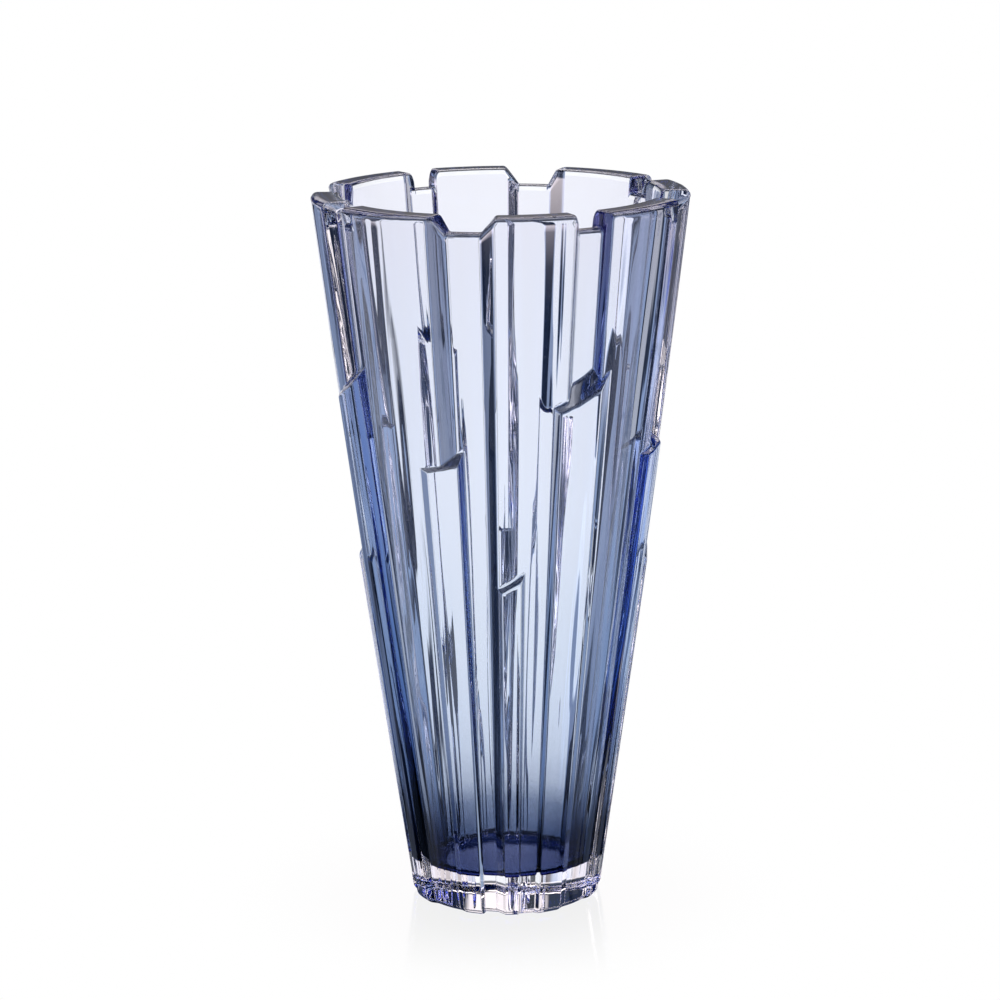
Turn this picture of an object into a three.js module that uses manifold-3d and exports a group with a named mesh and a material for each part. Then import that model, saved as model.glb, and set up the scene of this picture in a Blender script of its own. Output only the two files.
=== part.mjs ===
// Cut crystal vase: a flared, heavy-walled vessel of clear crystal whose outside is a
// ring of tall pillars, with a thin colour coat on the wall of the cavity.
// Millimetres, +Z up, origin at the centre of the resting face.
//
// The pattern repeats every 90 degrees. Every upright edge keeps one azimuth from base
// to rim, so a horizontal section at any height is the rim section scaled by the taper.
import * as THREE from 'three';
import * as BufferGeometryUtils from 'three/addons/utils/BufferGeometryUtils.js';
import Module from 'manifold-3d';

// ---------------------------------------------------------------- driving dimensions
const HEIGHT = 305;            // overall height
const RIM_RADIUS = 79.5;       // outside radius of the merlons at the rim
const REPEATS = 4;             // the pattern repeats every 360 / REPEATS degrees
// outside radius of the merlons against height
const TAPER = [[0, 38.95], [50, 45.85], [100, 52.85], [148, 59.5], [212, 67.85], [HEIGHT, RIM_RADIUS]];
const FOOT_CHAMFER = 4;        // eased lower edge of the base
// layers of the outside, as a fraction of the merlon radius
const LAYER_CRENEL = 0.934;    // sunk panels between the merlons
const LAYER_MERLON = 1.0;
const LAYER_PILLAR_A = 1.045;  // pillar that crosses the narrow crenel
const LAYER_PILLAR_B = 1.035;  // pillar beside the wide crenel
const LAYER_PILLAR_C = 1.035;  // short pillar on the first merlon
const LAYER_BURIED = 0.885;    // inner side of a pillar, inside the wall
const ARC_STEP = 6;            // degrees between vertices on a curved panel

// azimuths in degrees, from the front (-Y) towards +X
const WIDE_CRENEL = [-17.7, -6.6];       // sunk floor, its two sides leaning outwards
const WIDE_CRENEL_OUTER = [-22.4, -2.4];
const NARROW_CRENEL = [25.0, 33.9];      // sunk floor with steep sides
const NARROW_CRENEL_OUTER = [22.4, 34.4];
const PILLAR_A = { foot: [17.4, 38.2], face: [19.1, 33.3] };
const PILLAR_B = { foot: [-30.8, -15.0], face: [-27.0, -15.4] };
const PILLAR_C = { foot: [-2.4, 7.9], face: [-1.0, 6.9] };
// slanted top of each pillar: a plane through (azimuth, radius, height), with its slopes
// outwards along the radius and round towards +azimuth
const LEDGE_A = { azimuth: 27.8, radius: 69.3, height: 232.3, outward: -1.02, round: 0.59 };
const LEDGE_B = { azimuth: -21.6, radius: 65.6, height: 201.9, outward: -0.80, round: 0.27 };
const LEDGE_C = { azimuth: 3.2, radius: 60.5, height: 150.9, outward: -1.40, round: 0.75 };

const NOTCH_DEPTH = 7.0;       // crenel floors below the rim
const WIDE_NOTCH = { top: [-20.9, -1.6], floor: [-17.7, -6.6] };
const NARROW_NOTCH = { top: [22.4, 34.3], ease: [24.2, 34.1], floor: [25.0, 33.9] };
const NOTCH_EASE_DROP = 2.6;   // height of the eased corner of the narrow notch

const CAVITY_RIM_RADIUS = 66.8;
const CAVITY_FLOOR = 16.0;     // thickness of the solid base
// cavity wall and the eased corner at its foot, as [radius, height]
const CAVITY_FOOT = [[26.6, 16.0], [28.6, 16.7], [30.2, 18.3], [31.2, 21.0]];
const CAVITY_SEGMENTS = 72;
const COAT_GAP = 0.3;          // clearance kept between the coat and the wall
const COAT_THICKNESS = 0.7;

// ---------------------------------------------------------------- helpers
const wasm = await Module();
wasm.setup();

const toSolid = (geometry) => {
  let g = geometry.index ? geometry.clone() : geometry.clone();
  g.deleteAttribute('normal');
  g.deleteAttribute('uv');
  g = BufferGeometryUtils.mergeVertices(g, 1e-4);
  return new wasm.Manifold(new wasm.Mesh({
    numProp: 3,
    vertProperties: Float32Array.from(g.attributes.position.array),
    triVerts: Uint32Array.from(g.index.array),
  }));
};

const toGeometry = (solid) => {
  const mesh = solid.getMesh();
  const count = mesh.vertProperties.length / mesh.numProp;
  const positions = new Float32Array(count * 3);
  for (let i = 0; i < count; i++) {
    for (let c = 0; c < 3; c++) positions[3 * i + c] = mesh.vertProperties[i * mesh.numProp + c];
  }
  const g = new THREE.BufferGeometry();
  g.setAttribute('position', new THREE.BufferAttribute(positions, 3));
  g.setIndex(new THREE.BufferAttribute(Uint32Array.from(mesh.triVerts), 1));
  g.computeVertexNormals();
  return g;
};

const rad = THREE.MathUtils.degToRad;
// a point of a section: azimuth from -Y towards +X, radius in millimetres
const at = (azimuth, radius) => new THREE.Vector2(radius * Math.sin(rad(azimuth)), -radius * Math.cos(rad(azimuth)));

const taperAt = (z) => {
  for (let i = 1; i < TAPER.length; i++) {
    const [z0, r0] = TAPER[i - 1];
    const [z1, r1] = TAPER[i];
    if (z <= z1 || i === TAPER.length - 1) return (r0 + ((r1 - r0) * (z - z0)) / (z1 - z0)) / RIM_RADIUS;
  }
  return 1;
};

// azimuths from a to b with no step over ARC_STEP, both ends kept
const arc = (a, b, extra = []) => {
  const stops = [a, ...extra.filter((v) => v > a && v < b).sort((p, q) => p - q), b];
  const out = [a];
  for (let i = 1; i < stops.length; i++) {
    const n = Math.max(1, Math.ceil((stops[i] - stops[i - 1]) / ARC_STEP));
    for (let k = 1; k <= n; k++) out.push(stops[i - 1] + ((stops[i] - stops[i - 1]) * k) / n);
  }
  return out;
};

// a section at rim size, stretched upwards through the heights given and tapered
const taperedPrism = (points, heights) => {
  const shape = new THREE.Shape(points);
  const g = new THREE.ExtrudeGeometry(shape, { depth: heights.length - 1, steps: heights.length - 1, bevelEnabled: false });
  const p = g.attributes.position;
  for (let i = 0; i < p.count; i++) {
    const z = heights[Math.round(p.getZ(i))];
    let k = taperAt(z);
    if (z <= 0) k *= 1 - FOOT_CHAMFER / TAPER[0][1];
    p.setXYZ(i, p.getX(i) * k, p.getY(i) * k, z);
  }
  return toSolid(g);
};

const turned = (solid, quarter) => {
  const c = Math.round(Math.cos((Math.PI / 2) * quarter));
  const s = Math.round(Math.sin((Math.PI / 2) * quarter));
  // column-major 4 x 4 turn about Z
  return solid.transform([c, s, 0, 0, -s, c, 0, 0, 0, 0, 1, 0, 0, 0, 0, 1]);
};

const heightsTo = (top) => [0, FOOT_CHAMFER, ...TAPER.map((t) => t[0]).filter((z) => z > FOOT_CHAMFER && z < top), top];

// ---------------------------------------------------------------- the outside
const period = 360 / REPEATS;
const outline = [];
for (let q = 0; q < REPEATS; q++) {
  const o = q * period;
  const put = (azimuths, layer) => azimuths.forEach((a) => outline.push(at(a + o, RIM_RADIUS * layer)));
  put(arc(WIDE_CRENEL_OUTER[1], NARROW_CRENEL_OUTER[0], [0, PILLAR_C.foot[1], PILLAR_A.foot[0]]), LAYER_MERLON);
  put(arc(NARROW_CRENEL[0], NARROW_CRENEL[1]), LAYER_CRENEL);
  put(arc(NARROW_CRENEL_OUTER[1], WIDE_CRENEL_OUTER[0] + period, [PILLAR_A.foot[1], PILLAR_B.foot[0] + period]), LAYER_MERLON);
  put(arc(WIDE_CRENEL[0] + period, WIDE_CRENEL[1] + period, [PILLAR_B.foot[1] + period]), LAYER_CRENEL);
}
let body = taperedPrism(outline, heightsTo(HEIGHT));

// everything above a ledge plane, as a tall block whose lower face is the plane
const above = (ledge) => {
  const side = 60;
  const block = new THREE.BoxGeometry(side, side, side);
  block.translate(0, 0, side / 2);
  // local x runs outwards, local y runs round towards +azimuth
  const x = new THREE.Vector3(1, 0, ledge.outward);
  const y = new THREE.Vector3(0, 1, ledge.round);
  const n = new THREE.Vector3().crossVectors(x, y).normalize();
  x.normalize();
  const y2 = new THREE.Vector3().crossVectors(n, x).normalize();
  const tilt = new THREE.Matrix4().makeBasis(x, y2, n);
  const place = new THREE.Matrix4().makeRotationZ(rad(ledge.azimuth - 90)).multiply(
    new THREE.Matrix4().makeTranslation(ledge.radius, 0, ledge.height)).multiply(tilt);
  block.applyMatrix4(place);
  return toSolid(block);
};

const pillar = (pillarSpec, layer, ledge, innerLayer) => {
  const [f0, f1] = pillarSpec.foot;
  const pts = [];
  pts.push(at(f0, RIM_RADIUS * LAYER_BURIED));
  pts.push(at(f0, RIM_RADIUS * innerLayer[0]));
  arc(pillarSpec.face[0], pillarSpec.face[1]).forEach((a) => pts.push(at(a, RIM_RADIUS * layer)));
  pts.push(at(f1, RIM_RADIUS * innerLayer[1]));
  pts.push(at(f1, RIM_RADIUS * LAYER_BURIED));
  pts.push(at((f0 + f1) / 2, RIM_RADIUS * LAYER_BURIED));
  const top = ledge.height + 24;
  return taperedPrism(pts, heightsTo(top)).subtract(above(ledge));
};

const pillars = [
  pillar(PILLAR_A, LAYER_PILLAR_A, LEDGE_A, [LAYER_MERLON, LAYER_MERLON]),
  pillar(PILLAR_B, LAYER_PILLAR_B, LEDGE_B, [LAYER_MERLON, LAYER_CRENEL]),
  pillar(PILLAR_C, LAYER_PILLAR_C, LEDGE_C, [LAYER_MERLON, LAYER_MERLON]),
];
for (const p of pillars) for (let q = 0; q < REPEATS; q++) body = body.add(turned(p, q));

// ---------------------------------------------------------------- notches at the rim
// a prism that runs outwards through the wall; profile points are [azimuth, height]
const notch = (profile, grow = 0) => {
  const mid = (profile[0][0] + profile[profile.length - 1][0]) / 2;
  const r = RIM_RADIUS * 0.955;
  const shape = new THREE.Shape(profile.map(([a, z]) => {
    const side = Math.sign(a - mid) * grow;
    return new THREE.Vector2(r * Math.tan(rad(a - mid)) + side, z - (z < HEIGHT ? grow : 0));
  }));
  const g = new THREE.ExtrudeGeometry(shape, { depth: 40, steps: 1, bevelEnabled: false });
  // shape x goes round towards +azimuth, shape y goes up, depth goes inwards
  const tangent = new THREE.Vector3(Math.cos(rad(mid)), Math.sin(rad(mid)), 0);
  const up = new THREE.Vector3(0, 0, 1);
  const outwards = new THREE.Vector3(Math.sin(rad(mid)), -Math.cos(rad(mid)), 0);
  const m = new THREE.Matrix4().makeBasis(tangent, up, outwards);
  m.setPosition(outwards.clone().multiplyScalar(52));
  g.applyMatrix4(m);
  let s = toSolid(g);
  return s;
};
const floorZ = HEIGHT - NOTCH_DEPTH;
const over = HEIGHT + 5;
const wideProfile = [
  [WIDE_NOTCH.top[0], over], [WIDE_NOTCH.top[0], HEIGHT], [WIDE_NOTCH.floor[0], floorZ],
  [WIDE_NOTCH.floor[1], floorZ], [WIDE_NOTCH.top[1], HEIGHT], [WIDE_NOTCH.top[1], over],
];
const narrowProfile = [
  [NARROW_NOTCH.top[0], over], [NARROW_NOTCH.top[0], HEIGHT], [NARROW_NOTCH.ease[0], HEIGHT - NOTCH_EASE_DROP],
  [NARROW_NOTCH.floor[0], floorZ], [NARROW_NOTCH.floor[1], floorZ],
  [NARROW_NOTCH.ease[1], HEIGHT - NOTCH_EASE_DROP], [NARROW_NOTCH.top[1], HEIGHT], [NARROW_NOTCH.top[1], over],
];
const notches = [];
const coatNotches = [];
for (let q = 0; q < REPEATS; q++) {
  for (const profile of [wideProfile, narrowProfile]) {
    notches.push(turned(notch(profile), q));
    coatNotches.push(turned(notch(profile, 0.3), q));
  }
}
for (const n of notches) body = body.subtract(n);

// ---------------------------------------------------------------- the cavity
const lathe = (pairs, segments = CAVITY_SEGMENTS) => {
  const g = new THREE.LatheGeometry(pairs.map(([r, z]) => new THREE.Vector2(r, z)), segments);
  g.rotateX(Math.PI / 2);
  return toSolid(g);
};
const slope = (CAVITY_RIM_RADIUS - CAVITY_FOOT[3][0]) / (HEIGHT - CAVITY_FOOT[3][1]);
const cavity = lathe([[0, CAVITY_FLOOR], ...CAVITY_FOOT,
  [CAVITY_RIM_RADIUS + slope * 4, HEIGHT + 4], [0, HEIGHT + 4]]);
body = body.subtract(cavity);

// ---------------------------------------------------------------- the colour coat
const inset = (d, top) => [
  [0, CAVITY_FLOOR + d],
  ...CAVITY_FOOT.slice(0, 1).map(([r, z]) => [r - 0.4 * d, z + d]),
  [CAVITY_FOOT[1][0] - 0.75 * d, CAVITY_FOOT[1][1] + 0.8 * d],
  [CAVITY_FOOT[2][0] - 0.9 * d, CAVITY_FOOT[2][1] + 0.45 * d],
  [CAVITY_FOOT[3][0] - d, CAVITY_FOOT[3][1]],
  [CAVITY_RIM_RADIUS - d + slope * (top - HEIGHT), top],
];
const coatTop = HEIGHT - 0.5;
let coat = lathe([...inset(COAT_GAP, coatTop), ...inset(COAT_GAP + COAT_THICKNESS, coatTop).reverse()]);
for (const n of coatNotches) coat = coat.subtract(n);

// ---------------------------------------------------------------- scene graph
const group = new THREE.Group();
group.name = 'cut_crystal_vase';

const crystal = new THREE.Mesh(toGeometry(body), new THREE.MeshStandardMaterial({ color: 0xdfe8f4, roughness: 0.04, metalness: 0 }));
crystal.name = 'crystal_body';
const colour = new THREE.Mesh(toGeometry(coat), new THREE.MeshStandardMaterial({ color: 0x6f8cc4, roughness: 0.12, metalness: 0 }));
colour.name = 'blue_inner_coat';
group.add(crystal, colour);

export default group;
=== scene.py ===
import bpy
import math
import numpy as np
from mathutils import Matrix, Vector


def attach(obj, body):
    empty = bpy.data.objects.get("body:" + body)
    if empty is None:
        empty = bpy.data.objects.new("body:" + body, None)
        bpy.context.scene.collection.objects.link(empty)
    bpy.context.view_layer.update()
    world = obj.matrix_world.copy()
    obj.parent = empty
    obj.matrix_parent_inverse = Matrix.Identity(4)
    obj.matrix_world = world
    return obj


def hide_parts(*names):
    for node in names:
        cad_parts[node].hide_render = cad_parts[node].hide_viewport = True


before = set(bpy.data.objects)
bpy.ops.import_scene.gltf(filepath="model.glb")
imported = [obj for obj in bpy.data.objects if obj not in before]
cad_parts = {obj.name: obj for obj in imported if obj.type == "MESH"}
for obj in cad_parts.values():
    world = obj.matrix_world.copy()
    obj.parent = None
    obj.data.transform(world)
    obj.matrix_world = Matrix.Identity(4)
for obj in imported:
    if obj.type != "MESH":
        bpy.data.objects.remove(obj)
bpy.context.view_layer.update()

# ------------------------------------------------------------------ the vase's numbers (mm, degrees)
HEIGHT = 305.0
RIM = 79.5
REPEATS = 4
PERIOD = 360.0 / REPEATS
TAPER_Z = [0.0, 50.0, 100.0, 148.0, 212.0, 305.0]
TAPER_R = [38.95, 45.85, 52.85, 59.5, 67.85, 79.5]
CRENEL, MERLON, PA, PB, PC = 0.934, 1.0, 1.045, 1.035, 1.035
LEDGES = {  # azimuth, radius, height, slope outwards, slope round, sector of azimuths
    "C": (3.2, 60.5, 150.9, -1.40, 0.75, (-4.6, 9.6)),
    "B": (-21.6, 65.6, 201.9, -0.80, 0.27, (-33.0, -13.4)),
    "A": (27.8, 69.3, 232.3, -1.02, 0.59, (15.8, 40.4)),
}
FLOOR_Z = 298.0
FOOT_R = 3.2            # eased lower edge
RIM_OUT, RIM_IN = 3.0, 2.3  # eased rim edges
CAV_RIM, CAV_LOW, CAV_LOW_Z, CAV_FLOOR = 66.8, 31.2, 21.0, 16.0
CAV_FILLET = 5.0


# ------------------------------------------------------------------ small geometry helpers
def fillet_chain(pts, radii, closed, step=math.radians(9)):
    """Points of a chain with its corners rounded. pts are 2-D, radii one per point."""
    n = len(pts)
    out = []
    for i, (p, r) in enumerate(zip(pts, radii)):
        p = np.asarray(p, float)
        if r <= 0 or (not closed and i in (0, n - 1)):
            out.append(p)
            continue
        a = np.asarray(pts[(i - 1) % n], float) - p
        b = np.asarray(pts[(i + 1) % n], float) - p
        la, lb = np.linalg.norm(a), np.linalg.norm(b)
        a, b = a / la, b / lb
        ang = math.acos(max(-1.0, min(1.0, float(a @ b))))
        if ang > math.pi - 0.02:
            out.append(p)
            continue
        t = min(r / math.tan(ang / 2), 0.48 * la, 0.48 * lb)
        rr = t * math.tan(ang / 2)
        bis = (a + b) / np.linalg.norm(a + b)
        c = p + bis * (rr / math.sin(ang / 2))
        s0, s1 = p + a * t, p + b * t
        a0 = math.atan2(*(s0 - c)[::-1])
        a1 = math.atan2(*(s1 - c)[::-1])
        d = (a1 - a0 + math.pi) % (2 * math.pi) - math.pi
        k = max(3, int(math.ceil(abs(d) / step)))
        for j in range(k + 1):
            w = a0 + d * j / k
            out.append(c + rr * np.array([math.cos(w), math.sin(w)]))
    return np.array(out)


def xy(phi, r):
    a = math.radians(phi)
    return (r * math.sin(a), -r * math.cos(a))


def section(corners):
    """corners: list of (azimuth, layer, fillet) over one period. Returns polar samples of the whole ring at rim size."""
    pts, rad = [], []
    for q in range(REPEATS):
        for i, (a, layer, r) in enumerate(corners):
            b, lb, _ = corners[(i + 1) % len(corners)]
            if i == len(corners) - 1:
                b += PERIOD
            pts.append(xy(a + q * PERIOD, RIM * layer))
            rad.append(r)
            if abs(layer - lb) < 1e-6 and b - a > 2.0:  # a curved panel
                k = max(2, int(round((b - a) / 1.5)))
                for j in range(1, k):
                    pts.append(xy(a + (b - a) * j / k + q * PERIOD, RIM * layer))
                    rad.append(0.0)
    ch = fillet_chain(pts, rad, True)
    phi = np.degrees(np.arctan2(ch[:, 0], -ch[:, 1]))
    start = corners[0][0]
    phi = start - 2.0 + (phi - start + 2.0) % 360.0
    r = np.hypot(ch[:, 0], ch[:, 1])
    o = np.argsort(phi, kind="stable")
    return phi[o], r[o] / RIM


UPPER = [(-6.6, CRENEL, 3.2), (-2.4, MERLON, 2.6), (22.4, MERLON, 2.8), (25.0, CRENEL, 3.4),
         (33.9, CRENEL, 1.8), (34.4, MERLON, 2.2), (67.6, MERLON, 3.0), (72.3, CRENEL, 3.6)]
LOWER = [(-6.6, CRENEL, 2.2), (-2.4, MERLON, 1.4), (-1.0, PC, 1.4), (6.9, PC, 1.5), (7.9, MERLON, 1.2),
         (17.4, MERLON, 1.3), (19.1, PA, 1.6), (33.3, PA, 2.0), (38.2, MERLON, 2.4),
         (59.2, MERLON, 1.6), (63.0, PB, 1.8), (74.6, PB, 1.8), (75.0, CRENEL, 1.6)]
up_phi, up_r = section(UPPER)
lo_phi, lo_r = section(LOWER)


def ring(phi, sp, sr):
    x = sp[0] + (np.asarray(phi, float) - sp[0]) % 360.0
    return np.interp(x, np.r_[sp, sp[0] + 360.0], np.r_[sr, sr[0]])


# rim height against azimuth, laid out as arc length so that its corners round evenly
MM = math.radians(1.0) * RIM * 0.955
RIMLINE = [(-20.9, 305.0, 2.2), (-17.7, 298.0, 1.6), (-6.6, 298.0, 1.6), (-1.6, 305.0, 2.2),
           (24.75, 305.0, 4.6), (25.05, 298.0, 1.2), (33.85, 298.0, 1.2), (34.2, 305.0, 1.6)]
pts, rad_ = [(-30.0 * MM, 305.0)], [0.0]
for q in range(REPEATS + 1):
    for a, z, r in RIMLINE:
        pts.append(((a + q * PERIOD) * MM, z))
        rad_.append(r)
top_chain = fillet_chain(pts, rad_, False)
top_phi, top_z = top_chain[:, 0] / MM, top_chain[:, 1]


def rim_height(phi):
    x = -25.0 + (np.asarray(phi, float) + 25.0) % 360.0
    return np.interp(x, top_phi, top_z)


# ------------------------------------------------------------------ smooth taper (no kinks between the measured heights)
tz = np.array(TAPER_Z)
tr = np.array(TAPER_R) / RIM
coef = np.polyfit(tz, tr, 3, w=[3, 1, 1, 1, 1, 3])


def taper(z):
    return np.polyval(coef, z)


# ------------------------------------------------------------------ columns
def unique_sorted(v, gap):
    v = np.sort(v)
    keep = [v[0]]
    for x in v[1:]:
        if x - keep[-1] >= gap:
            keep.append(x)
    return np.array(keep)


base0 = -30.0
cands = []
for arr in (up_phi, lo_phi, top_phi):
    m = base0 + (arr - base0) % PERIOD
    cands.append(m)
cols1 = unique_sorted(np.concatenate(cands), 0.055)
fill = []
ext = np.r_[cols1, cols1[0] + PERIOD]
for a, b in zip(ext[:-1], ext[1:]):
    k = int((b - a) // 1.0)
    for j in range(1, k + 1):
        fill.append(a + (b - a) * j / (k + 1))
cols1 = np.sort(np.r_[cols1, fill])
phi = np.concatenate([cols1 + q * PERIOD for q in range(REPEATS)])
NC = len(phi)
R_up, R_lo = ring(phi, up_phi, up_r), ring(phi, lo_phi, lo_r)
R_lo = np.maximum(R_lo, R_up)
Z_top = rim_height(phi)


def fold(p, centre):
    return centre - PERIOD / 2 + (p - centre + PERIOD / 2) % PERIOD


def plane_cross(name, rho):
    az, r0, z0, o, t, _ = LEDGES[name]
    d = np.radians(fold(phi, az) - az)
    z = np.full(NC, z0)
    for _i in range(60):
        R = rho * RIM * taper(z)
        z = 0.5 * z + 0.5 * (z0 + o * (R * np.cos(d) - r0) + t * R * np.sin(d))
    return z


knots, inside = {}, {}
for name, (az, r0, z0, o, t, sector) in LEDGES.items():
    f = fold(phi, az)
    ins = (f >= sector[0]) & (f <= sector[1])
    z1, z2 = plane_cross(name, R_lo), plane_cross(name, R_up)
    mid, half = (z1 + z2) / 2, np.maximum((z2 - z1) / 2, 0.7)
    z1, z2 = mid - half, mid + half
    # outside the sector the rows run straight from its one end to the other
    a0, a1 = sector
    i0, i1 = np.where(ins)[0], None
    fs = f[ins]
    e0, e1 = np.argmin(fs), np.argmax(fs)
    za0, za1 = (z1[ins][e0], z2[ins][e0]), (z1[ins][e1], z2[ins][e1])
    w = ((f - a1) % PERIOD) / (PERIOD - (a1 - a0))
    w = np.clip(w, 0, 1)
    w = w * w * (3 - 2 * w)
    z1 = np.where(ins, z1, za1[0] + (za0[0] - za1[0]) * w)
    z2 = np.where(ins, z2, za1[1] + (za0[1] - za1[1]) * w)
    knots[name], inside[name] = (z1, z2), ins

# ------------------------------------------------------------------ rows of the outside wall
rows = []


def lerp_rows(lo, hi, n):
    for j in range(1, n + 1):
        rows.append(lo + (hi - lo) * j / (n + 1))


near = [2.6, 1.6, 1.0, 0.6, 0.3]
prev = np.full(NC, FOOT_R + 0.01)
rows.append(prev)
for name, n in (("C", 20), ("B", 7), ("A", 3)):
    z1, z2 = knots[name]
    start = z1 - near[0]
    lerp_rows(rows[-1], start, n)
    for d in near:
        rows.append(z1 - d)
    for w in (0.0, 0.07, 0.16, 0.3, 0.5, 0.7, 0.84, 0.93, 1.0):
        rows.append(z1 + (z2 - z1) * w)
    for d in near[::-1]:
        rows.append(z2 + d)
lerp_rows(rows[-1], np.full(NC, 290.0), 9)
rows.append(np.full(NC, 290.0))
lerp_rows(rows[-1], Z_top - RIM_OUT, 3)
rows.append(Z_top - RIM_OUT)
Z = np.array(rows)


def smin(a, b, k):
    h = np.maximum(k - np.abs(a - b), 0.0) / k
    return np.minimum(a, b) - h * h * k * 0.25


def smax(a, b, k):
    return -smin(-a, -b, k)


def outer(z):
    """Outside radius in mm on each column at heights z (one per column)."""
    s = RIM * taper(z)
    a, b = R_up * s, R_lo * s
    r = a.copy()
    for name in LEDGES:
        az, r0, z0, o, t, _ = LEDGES[name]
        d = np.radians(fold(phi, az) - az)
        den = o * np.cos(d) + t * np.sin(d)
        plane = (z - z0 + o * r0) / den
        k = np.clip(0.45 * (b - a), 1e-3, 1.3)
        rr = smax(a, smin(b, plane, k), k)
        r = np.where(inside[name], rr, r)
    # the slight waviness of a pressed and fire-polished surface, always inwards
    p = np.radians(phi)
    wave = (np.sin(38 * p + 0.021 * z + 0.4) + 0.8 * np.sin(61 * p - 0.034 * z + 2.0) + 0.5 * np.sin(17 * p + 0.055 * z)
            + 0.35 * np.sin(96 * p + 0.018 * z + 1.0))
    return r - 0.030 * (2.65 + wave)


# ------------------------------------------------------------------ profile rings from the centre of the underside round to the floor of the cavity
rings = []   # each (radius per column, height per column, region)
foot = outer(np.full(NC, FOOT_R)) - 0.0
foot0 = R_lo * RIM * taper(np.zeros(NC))
for f in (0.06, 0.2, 0.4, 0.6, 0.8, 0.93, 0.985):
    rr = (foot0 - FOOT_R) * f
    rings.append((rr, np.zeros(NC), 0))
for j in range(0, 9):
    w = math.radians(90.0 * j / 8)
    rr = R_lo * RIM * taper(np.full(NC, FOOT_R * (1 - math.cos(w)))) - FOOT_R * (1 - math.sin(w))
    rings.append((rr, np.full(NC, FOOT_R * (1 - math.cos(w))), 0))
for j in range(1, len(Z)):
    rings.append((outer(Z[j]), Z[j], 0))
R_edge = outer(Z_top)


def cav(z):
    return CAV_LOW + (CAV_RIM - CAV_LOW) * (z - CAV_LOW_Z) / (HEIGHT - CAV_LOW_Z)


for j in range(1, 7):
    w = math.radians(90.0 * j / 6)
    rings.append((R_edge - RIM_OUT * (1 - math.cos(w)), Z_top - RIM_OUT + RIM_OUT * math.sin(w), 0))
ro, ri = R_edge - RIM_OUT, cav(Z_top) + RIM_IN
for f in (0.12, 0.35, 0.65, 0.88):
    rings.append((ro + (ri - ro) * f, Z_top.copy(), 0))
for j in range(0, 6):
    w = math.radians(90.0 * j / 6)
    rings.append((cav(Z_top) + RIM_IN * (1 - math.sin(w)), Z_top - RIM_IN * (1 - math.cos(w)), 0))
n_wall = len(rings)
zt = Z_top - RIM_IN
for f in (0.0, 0.12, 0.35, 0.7, 1.0):
    z = zt + (288.0 - zt) * f
    rings.append((cav(z), z, 1))
for z in np.linspace(278.0, 27.0, 24):
    rings.append((cav(np.full(NC, z)), np.full(NC, z), 1))
slope = (CAV_RIM - CAV_LOW) / (HEIGHT - CAV_LOW_Z)
tilt = math.atan(slope)
# fillet between the floor and the wall
rc = CAV_FILLET
zc = CAV_FLOOR + rc
xc = (CAV_LOW + slope * (zc - CAV_LOW_Z)) - rc / math.cos(tilt)
for j in range(0, 11):
    w = (math.pi / 2 - tilt) * (1 - j / 10)  # from the wall's normal down to the floor's
    rings.append((np.full(NC, xc + rc * math.cos(math.pi / 2 - w)), np.full(NC, zc - rc * math.cos(w)), 1))
for f in (0.97, 0.85, 0.65, 0.42, 0.22, 0.07):
    rings.append((np.full(NC, xc * f), np.full(NC, CAV_FLOOR), 1))

ph = np.radians(phi)
sx, cy = np.sin(ph), -np.cos(ph)
verts = [np.array([[0.0, 0.0, 0.0]])]
for r, z, g in rings:
    verts.append(np.c_[r * sx, r * cy, z])
verts.append(np.array([[0.0, 0.0, CAV_FLOOR]]))
V = np.concatenate(verts) * 0.001
NR = len(rings)
idx = lambda j: 1 + j * NC + np.arange(NC)
quads, reg = [], []
for j in range(NR - 1):
    a, b = idx(j), idx(j + 1)
    quads.append(np.c_[a, np.roll(a, -1), np.roll(b, -1), b])
    reg += [rings[j + 1][2]] * NC
Q = np.concatenate(quads)
a, b = idx(0), idx(NR - 1)
tri0 = np.c_[np.zeros(NC, int), np.roll(a, -1), a]
tri1 = np.c_[b, np.roll(b, -1), np.full(NC, len(V) - 1)]


def make_mesh(name, V, Q, T):
    me = bpy.data.meshes.new(name)
    me.vertices.add(len(V))
    me.vertices.foreach_set("co", V.astype(np.float32).ravel())
    loops = np.concatenate([Q.ravel(), T.ravel()])
    me.loops.add(len(loops))
    me.loops.foreach_set("vertex_index", loops.astype(np.int32))
    starts = np.concatenate([np.arange(len(Q)) * 4, len(Q) * 4 + np.arange(len(T)) * 3])
    me.polygons.add(len(starts))
    me.polygons.foreach_set("loop_start", starts.astype(np.int32))
    me.polygons.foreach_set("use_smooth", np.ones(len(starts), bool))
    me.update(calc_edges=True)
    me.validate()
    # normals weighted by area keep the broad panels true and put the bend into the eased edges
    nrm = np.zeros_like(V)
    d1, d2 = V[Q[:, 2]] - V[Q[:, 0]], V[Q[:, 3]] - V[Q[:, 1]]
    fn = np.cross(d1, d2)
    for c in range(4):
        np.add.at(nrm, Q[:, c], fn)
    ft = np.cross(V[T[:, 1]] - V[T[:, 0]], V[T[:, 2]] - V[T[:, 0]])
    for c in range(3):
        np.add.at(nrm, T[:, c], ft)
    nrm /= np.maximum(np.linalg.norm(nrm, axis=1, keepdims=True), 1e-20)
    me.normals_split_custom_set_from_vertices(nrm.tolist())
    ob = bpy.data.objects.new(name, me)
    bpy.context.scene.collection.objects.link(ob)
    return ob


# ------------------------------------------------------------------ materials
def clear_glass(name):
    m = bpy.data.materials.new(name)
    m.use_nodes = True
    nt = m.node_tree
    b = nt.nodes["Principled BSDF"]
    b.inputs["Base Color"].default_value = (0.985, 0.99, 1.0, 1.0)
    b.inputs["Roughness"].default_value = 0.0
    b.inputs["IOR"].default_value = 1.54
    b.inputs["Specular Tint"].default_value = (0.22, 0.28, 0.42, 1.0)
    b.inputs["Transmission Weight"].default_value = 1.0
    return m


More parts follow.
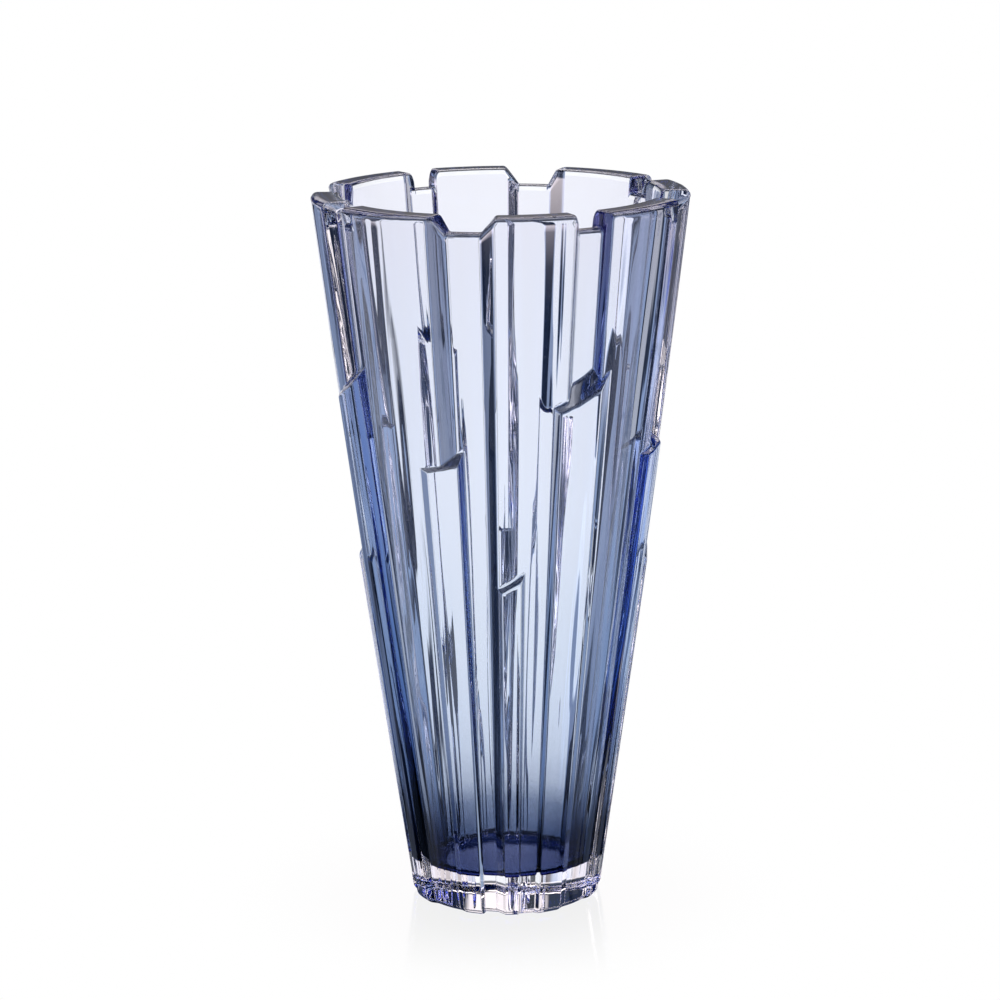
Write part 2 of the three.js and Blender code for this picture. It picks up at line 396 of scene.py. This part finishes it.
def maths(nt, op, a, b=None, c=None, clamp=False):
    n = nt.nodes.new("ShaderNodeMath")
    n.operation = op
    n.use_clamp = clamp
    for i, v in enumerate((a, b, c)):
        if v is None:
            continue
        if isinstance(v, (int, float)):
            n.inputs[i].default_value = v
        else:
            nt.links.new(v, n.inputs[i])
    return n.outputs[0]


def ramp(nt, fac, stops):
    n = nt.nodes.new("ShaderNodeValToRGB")
    nt.links.new(fac, n.inputs["Fac"])
    e = n.color_ramp.elements
    for i, (p, c) in enumerate(stops):
        c = (c, c, c, 1.0) if isinstance(c, (int, float)) else (*c, 1.0)
        el = e[i] if i < 2 else e.new(p)
        el.position, el.color = p, c
    # the first two were placed by number, so put every stop right once they all exist
    for el, (p, c) in zip(sorted(e, key=lambda q: q.position), sorted(stops, key=lambda q: q[0])):
        el.position = p
        el.color = (c, c, c, 1.0) if isinstance(c, (int, float)) else (*c, 1.0)
    return n.outputs["Color"]


def coat_glass(name):
    """A transparent colour layer: its tint deepens towards the foot, and with the length of the way through it."""
    m = bpy.data.materials.new(name)
    m.use_nodes = True
    nt = m.node_tree
    b = nt.nodes["Principled BSDF"]
    b.inputs["Roughness"].default_value = 0.0
    b.inputs["IOR"].default_value = 1.0
    b.inputs["Transmission Weight"].default_value = 1.0
    tc = nt.nodes.new("ShaderNodeTexCoord")
    sep = nt.nodes.new("ShaderNodeSeparateXYZ")
    nt.links.new(tc.outputs["Object"], sep.inputs[0])
    h = maths(nt, "DIVIDE", sep.outputs["Z"], 0.305)
    tint = ramp(nt, h, TINT)
    lw = nt.nodes.new("ShaderNodeLayerWeight")
    lw.inputs["Blend"].default_value = 0.5
    cosv = maths(nt, "SUBTRACT", 1.0, lw.outputs["Facing"])
    way = maths(nt, "POWER", maths(nt, "DIVIDE", 1.0, maths(nt, "MAXIMUM", cosv, 0.16)), 1.5)
    sp = nt.nodes.new("ShaderNodeSeparateColor")
    nt.links.new(tint, sp.inputs[0])
    cb = nt.nodes.new("ShaderNodeCombineColor")
    for i in range(3):
        nt.links.new(maths(nt, "POWER", sp.outputs[i], way), cb.inputs[i])
    nt.links.new(cb.outputs[0], b.inputs["Base Color"])
    return m


TINT = [(0.0540, (0.62, 0.66, 0.88)), (0.0600, (0.18, 0.23, 0.36)), (0.079, (0.20, 0.245, 0.36)), (0.105, (0.27, 0.32, 0.43)),
        (0.138, (0.59, 0.635, 0.72)), (0.184, (0.745, 0.79, 0.86)), (0.23, (0.795, 0.84, 0.912)), (0.27, (0.825, 0.868, 0.937)),
        (0.33, (0.85, 0.893, 0.95)), (0.55, (0.907, 0.934, 0.982)), (0.84, (0.92, 0.935, 0.978)), (0.98, (0.93, 0.93, 0.967))]

clear = clear_glass("clear_crystal_polished")
coat_mat = coat_glass("blue_coat_transparent")

crystal = make_mesh("crystal_vase_glass", V, Q, np.concatenate([tri0, tri1]))
crystal.data.materials.append(clear)
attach(crystal, "root")
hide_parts("crystal_body")

# ------------------------------------------------------------------ the colour coat: a thin closed skin set just under the cavity's surface
SK0, SK1 = 0.06, 0.22     # mm under the surface


def coat_rings():
    """Rings of the skin: up the side near the cavity, over its top edge, down the side in the glass."""
    pts = []   # (radius, height, normal r, normal z) of the cavity from the floor's centre up to the rim
    for f in (0.07, 0.22, 0.42, 0.65, 0.85, 0.97):
        pts.append((np.full(NC, xc * f), np.full(NC, CAV_FLOOR), 0.0, -1.0))
    for j in range(10, -1, -1):
        w = (math.pi / 2 - tilt) * (1 - j / 10)
        pts.append((np.full(NC, xc + rc * math.cos(math.pi / 2 - w)), np.full(NC, zc - rc * math.cos(w)), math.sin(w), -math.cos(w)))
    for z in np.linspace(27.0, 278.0, 24):
        pts.append((cav(np.full(NC, z)), np.full(NC, z), math.cos(tilt), -math.sin(tilt)))
    zt2 = Z_top - RIM_IN - 0.1
    for f in (1.0, 0.7, 0.35, 0.12, 0.0):
        z = zt2 + (288.0 - zt2) * f
        pts.append((cav(z), z, math.cos(tilt), -math.sin(tilt)))
    return pts


cp = coat_rings()
inner = [(r + SK0 * nr, z + SK0 * nz) for r, z, nr, nz in cp]
# the skin's other face, SK1 under the surface
outer_ = [(r + SK1 * nr, z + SK1 * nz) for r, z, nr, nz in cp]
crings = inner + outer_[::-1]
cv = [np.array([[0.0, 0.0, CAV_FLOOR - SK0]])]
for r, z in crings:
    cv.append(np.c_[r * sx, r * cy, z])
cv.append(np.array([[0.0, 0.0, CAV_FLOOR - SK1]]))
CV = np.concatenate(cv) * 0.001
CR = len(crings)
cq = []
for j in range(CR - 1):
    a, b = idx(j), idx(j + 1)
    cq.append(np.c_[a, b, np.roll(b, -1), np.roll(a, -1)])
CQ = np.concatenate(cq)
a, b = idx(0), idx(CR - 1)
ct0 = np.c_[np.zeros(NC, int), a, np.roll(a, -1)]
ct1 = np.c_[b, np.full(NC, len(CV) - 1), np.roll(b, -1)]
coat = make_mesh("blue_coat_film", CV, CQ, np.concatenate([ct0, ct1]))
coat.data.materials.append(coat_mat)
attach(coat, "root")
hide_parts("blue_inner_coat")

# ------------------------------------------------------------------ floor: plain white, with a faint soft reflection round the foot
bpy.ops.mesh.primitive_circle_add(vertices=128, radius=3.0, fill_type="NGON", location=(0, 0, -0.0004))
floor = bpy.context.active_object
floor.name = "floor"
fm = bpy.data.materials.new("floor_pale")
fm.use_nodes = True
nt = fm.node_tree
nt.nodes.clear()
outn = nt.nodes.new("ShaderNodeOutputMaterial")
lp = nt.nodes.new("ShaderNodeLightPath")
tc = nt.nodes.new("ShaderNodeTexCoord")
ln = nt.nodes.new("ShaderNodeVectorMath")
ln.operation = "LENGTH"
nt.links.new(tc.outputs["Object"], ln.inputs[0])
em = nt.nodes.new("ShaderNodeEmission")
em.inputs["Strength"].default_value = 1.0
gl = nt.nodes.new("ShaderNodeBsdfGlossy")
gl.inputs["Roughness"].default_value = 0.10
fall = nt.nodes.new("ShaderNodeMapRange")
fall.interpolation_type = "SMOOTHSTEP"
for k, v in (("From Min", 0.035), ("From Max", 0.13), ("To Min", 0.13), ("To Max", 0.0)):
    fall.inputs[k].default_value = v
nt.links.new(ln.outputs["Value"], fall.inputs["Value"])
seen = nt.nodes.new("ShaderNodeMixShader")
nt.links.new(fall.outputs["Result"], seen.inputs["Fac"])
nt.links.new(em.outputs[0], seen.inputs[1])
nt.links.new(gl.outputs[0], seen.inputs[2])
# painted light: through the glass the floor glows from the disc right under it and, for rays that come down steeply,
# from a ring further out; the rest of it is transparent to the studio's
foot_disc = maths(nt, "LESS_THAN", ln.outputs["Value"], 0.0465)
steep = nt.nodes.new("ShaderNodeLayerWeight")
steep.inputs["Blend"].default_value = 0.5
down = ramp(nt, steep.outputs["Facing"], [(0.25, 1.0), (0.30, 0.0)])        # only rays that come down at more than about 46 degrees
glow = maths(nt, "MULTIPLY", down, ramp(nt, maths(nt, "MULTIPLY", ln.outputs["Value"], 2.0), [(0.25, 0.0), (0.31, 0.42), (0.80, 0.42), (0.98, 0.0)]))
under = maths(nt, "MAXIMUM", foot_disc, glow)
floor_glow_emission = nt.nodes.new("ShaderNodeEmission")
floor_glow_emission.inputs["Strength"].default_value = 1.0
# painted light and painted shade: the disc glows warm white, and a dark navy ring is painted just inside its edge,
# under the foot's rim, to darken the glass foot
disc_glow_and_painted_shade = nt.nodes.new("ShaderNodeMix")
disc_glow_and_painted_shade.data_type = "RGBA"
nt.links.new(foot_disc, disc_glow_and_painted_shade.inputs[0])
disc_glow_and_painted_shade.inputs[6].default_value = (0.95, 0.93, 0.96, 1.0)
nt.links.new(ramp(nt, maths(nt, "MULTIPLY", ln.outputs["Value"], 20.0), [(0.58, (0.85, 0.80, 0.83)), (0.66, (0.03, 0.05, 0.14))]), disc_glow_and_painted_shade.inputs[7])   # shaded under the foot's edge
nt.links.new(disc_glow_and_painted_shade.outputs[2], floor_glow_emission.inputs["Color"])
tr = nt.nodes.new("ShaderNodeBsdfTransparent")
rest = nt.nodes.new("ShaderNodeMixShader")
nt.links.new(under, rest.inputs["Fac"])
nt.links.new(tr.outputs[0], rest.inputs[1])
nt.links.new(floor_glow_emission.outputs[0], rest.inputs[2])
both = nt.nodes.new("ShaderNodeMixShader")
nt.links.new(lp.outputs["Is Camera Ray"], both.inputs["Fac"])
nt.links.new(rest.outputs[0], both.inputs[1])
nt.links.new(seen.outputs[0], both.inputs[2])
nt.links.new(both.outputs[0], outn.inputs["Surface"])
floor.data.materials.append(fm)

# ------------------------------------------------------------------ studio: white all round for the camera; for the glass, upright bright panels and dark flags between them
w = bpy.data.worlds.new("studio")
bpy.context.scene.world = w
w.use_nodes = True
nt = w.node_tree
nt.nodes.clear()
N, L = nt.nodes, nt.links
outw = N.new("ShaderNodeOutputWorld")
lp = N.new("ShaderNodeLightPath")
tc = N.new("ShaderNodeTexCoord")
sep = N.new("ShaderNodeSeparateXYZ")
L.new(tc.outputs["Generated"], sep.inputs[0])
az = maths(nt, "ARCTAN2", sep.outputs["X"], sep.outputs["Y"])
c4 = maths(nt, "COSINE", maths(nt, "MULTIPLY", az, 4.0))


def step(v, lo, hi):
    n = N.new("ShaderNodeMapRange")
    n.interpolation_type = "SMOOTHSTEP"
    L.new(v, n.inputs["Value"])
    n.inputs["From Min"].default_value, n.inputs["From Max"].default_value = lo, hi
    return n.outputs["Result"]


main = step(c4, 0.50, 0.64)                                    # panels 30 degrees wide, one on each side
c4b = maths(nt, "COSINE", maths(nt, "MULTIPLY", maths(nt, "SUBTRACT", az, math.radians(62.5)), 4.0))
second = maths(nt, "MULTIPLY", step(c4b, 0.80, 0.93), 0.50)
c4e = maths(nt, "COSINE", maths(nt, "MULTIPLY", maths(nt, "SUBTRACT", az, math.radians(19.0)), 4.0))
fringe = step(c4e, 0.86, 0.96)                                 # a dimmer blue-grey margin along one side of each panel
height = maths(nt, "MULTIPLY_ADD", sep.outputs["Z"], 0.5, 0.5)
E = lambda deg: 0.5 + 0.5 * math.sin(math.radians(deg))
rise = ramp(nt, height, [(E(-75), 0.02), (E(-34), 0.05), (E(-28), 1.0), (E(-5), 1.0), (E(-2), 0.25), (E(9), 0.15), (E(22), 0.10), (E(60), 0.0)])
gaps = step(maths(nt, "COSINE", maths(nt, "MULTIPLY", az, 12.0)), -0.75, -0.35)
ring_ = maths(nt, "MULTIPLY", gaps, ramp(nt, height, [(E(28), 0.0), (E(33), 1.0), (E(62), 1.0), (E(70), 0.0)]))    # high lights all round
side = maths(nt, "MULTIPLY_ADD", step(maths(nt, "COSINE", maths(nt, "MULTIPLY", az, 2.0)), -0.4, 0.4), 0.50, 0.50)   # the two at the sides are weaker
horizon = ramp(nt, height, [(E(-10), 0.0), (E(-8), 1.0), (E(-3), 1.0), (E(0), 0.1), (E(6), 0.0)])                   # a low strip all round
white = maths(nt, "MULTIPLY", maths(nt, "MULTIPLY", main, rise), side)
upper = maths(nt, "MULTIPLY", step(c4, 0.1, 0.4), ramp(nt, height, [(E(8), 0.0), (E(11), 1.0), (E(20), 1.0), (E(23), 0.0)]))      # shorter panels above those
blue = maths(nt, "MULTIPLY", second, rise)
corner = maths(nt, "MULTIPLY", step(maths(nt, "MULTIPLY", c4, -1.0), 0.84, 0.97), rise)                             # faint ones at the corners
edge = maths(nt, "MULTIPLY", fringe, rise)


def tinted(v, c):
    n = N.new("ShaderNodeVectorMath")
    n.operation = "SCALE"
    n.inputs[0].default_value = c
    L.new(v, n.inputs["Scale"])
    return n.outputs[0]


def plus(a, b):
    n = N.new("ShaderNodeVectorMath")
    n.operation = "ADD"
    for i, v in enumerate((a, b)):
        if isinstance(v, tuple):
            n.inputs[i].default_value = v
        else:
            L.new(v, n.inputs[i])
    return n.outputs[0]


bg_o = N.new("ShaderNodeBackground")
L.new(plus(plus(plus(tinted(white, (0.97, 0.98, 1.02)), plus(tinted(edge, (0.26, 0.31, 0.44)), tinted(corner, (0.17, 0.20, 0.28)))), tinted(blue, (0.60, 0.76, 1.10))),
            plus(plus(plus(tinted(ring_, (3.5, 3.1, 3.15)), tinted(maths(nt, "MULTIPLY", maths(nt, "SUBTRACT", 1.0, main), horizon), (0.80, 0.72, 0.74))), tinted(upper, (1.0, 0.91, 0.93))), (0.006, 0.010, 0.024))), bg_o.inputs["Color"])
bg_c = N.new("ShaderNodeBackground")
bg_c.inputs["Color"].default_value = (1, 1, 1, 1)
mixw = N.new("ShaderNodeMixShader")
L.new(lp.outputs["Is Camera Ray"], mixw.inputs["Fac"])
L.new(bg_o.outputs[0], mixw.inputs[1])
L.new(bg_c.outputs[0], mixw.inputs[2])
L.new(mixw.outputs[0], outw.inputs["Surface"])

# ------------------------------------------------------------------ camera
th, roll = math.radians(12.93), math.radians(-0.549)
fw = Vector((0, math.cos(th), -math.sin(th)))
rt = Vector((1, 0, 0))
up = rt.cross(fw)
r2 = math.cos(roll) * rt + math.sin(roll) * up
u2 = -math.sin(roll) * rt + math.cos(roll) * up
cam = bpy.data.objects.new("camera", bpy.data.cameras.new("camera"))
bpy.context.scene.collection.objects.link(cam)
cam.data.sensor_width = 36.0
cam.data.lens = 36.0 * 3.6888
m = Matrix.Identity(4)
for i in range(3):
    m[i][0], m[i][1], m[i][2] = r2[i], u2[i], -fw[i]
m[0][3], m[1][3], m[2][3] = -0.00143, -1.5287, 0.5235
cam.matrix_world = m
bpy.context.scene.camera = cam

sc = bpy.context.scene
sc.view_settings.view_transform = "Standard"
sc.view_settings.look = "None"
sc.cycles.max_bounces = 48
sc.cycles.transmission_bounces = 48
sc.cycles.glossy_bounces = 24
sc.cycles.transparent_max_bounces = 32
sc.cycles.caustics_refractive = True
sc.cycles.caustics_reflective = True
sc.cycles.sample_clamp_indirect = 0.0
